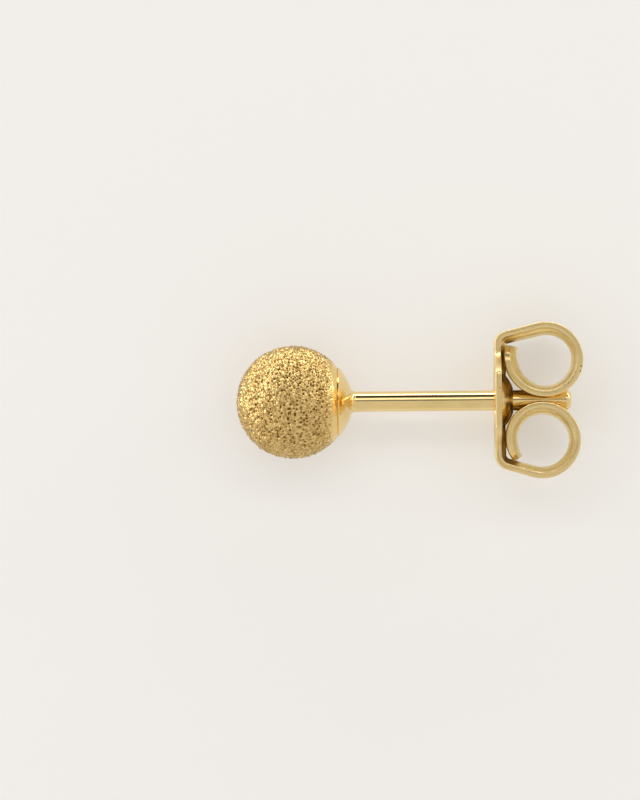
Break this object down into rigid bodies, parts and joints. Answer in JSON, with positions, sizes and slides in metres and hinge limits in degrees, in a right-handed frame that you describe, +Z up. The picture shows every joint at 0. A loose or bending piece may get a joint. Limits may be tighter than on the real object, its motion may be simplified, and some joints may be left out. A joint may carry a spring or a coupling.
{
  "type": "ball stud earring",
  "caption": "Gold stud earring lying on its side: sparkle-textured ball with a polished cup and straight post, and a butterfly back that slides on the post.",
  "frame": {"origin": "on the table under the middle of the earring, which lies on its side", "axes": "+X along the post from the ball to its tip, +Y towards the left loop of the butterfly back, +Z up"},
  "size_m": [0.0154, 0.007, 0.005],
  "materials": {
    "textured_gold": "14 carat yellow gold, sparkle-cut ball, polished cup and post",
    "polished_gold": "14 carat yellow gold, stamped and tumbled bright"
  },
  "bodies": {
    "stud": {"ball_and_post": "textured_gold"},
    "back": {"butterfly_back": "polished_gold"}
  },
  "joints": [
    {"name": "back_slide", "type": "slide", "parent": "stud", "child": "back", "axis": [1, 0, 0], "range_m": [-0.006, 0.004]}
  ]
}
